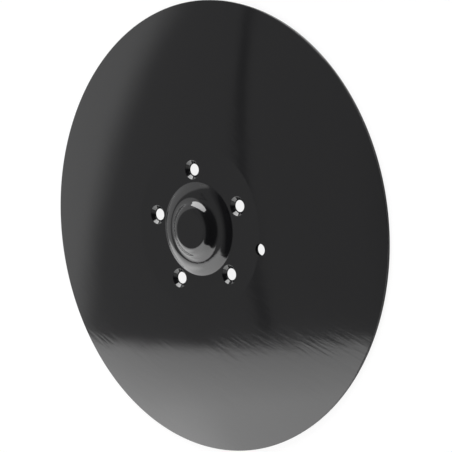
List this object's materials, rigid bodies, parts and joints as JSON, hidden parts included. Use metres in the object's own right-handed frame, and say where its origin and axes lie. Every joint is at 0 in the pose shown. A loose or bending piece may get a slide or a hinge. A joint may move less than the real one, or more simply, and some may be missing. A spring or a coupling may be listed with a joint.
{
  "type": "harrow disc blade",
  "caption": "Round, shallow domed steel blade with a flat centre, a stepped boss and a ring of countersunk bolt holes, which turns on a harrow hub and cuts soil.",
  "frame": {"origin": "on the disc's axis, at the height of the rim's lowest edge, so the blade lies on its rim with the domed side up", "axes": "+Z along the disc's axis out of the domed side, +Y through the first bolt hole, +X square to both"},
  "size_m": [0.46, 0.46, 0.033],
  "materials": {
    "enamel": "glossy black enamel over pressed steel"
  },
  "bodies": {
    "root": {"disc_blade": "enamel"}
  },
  "joints": []
}
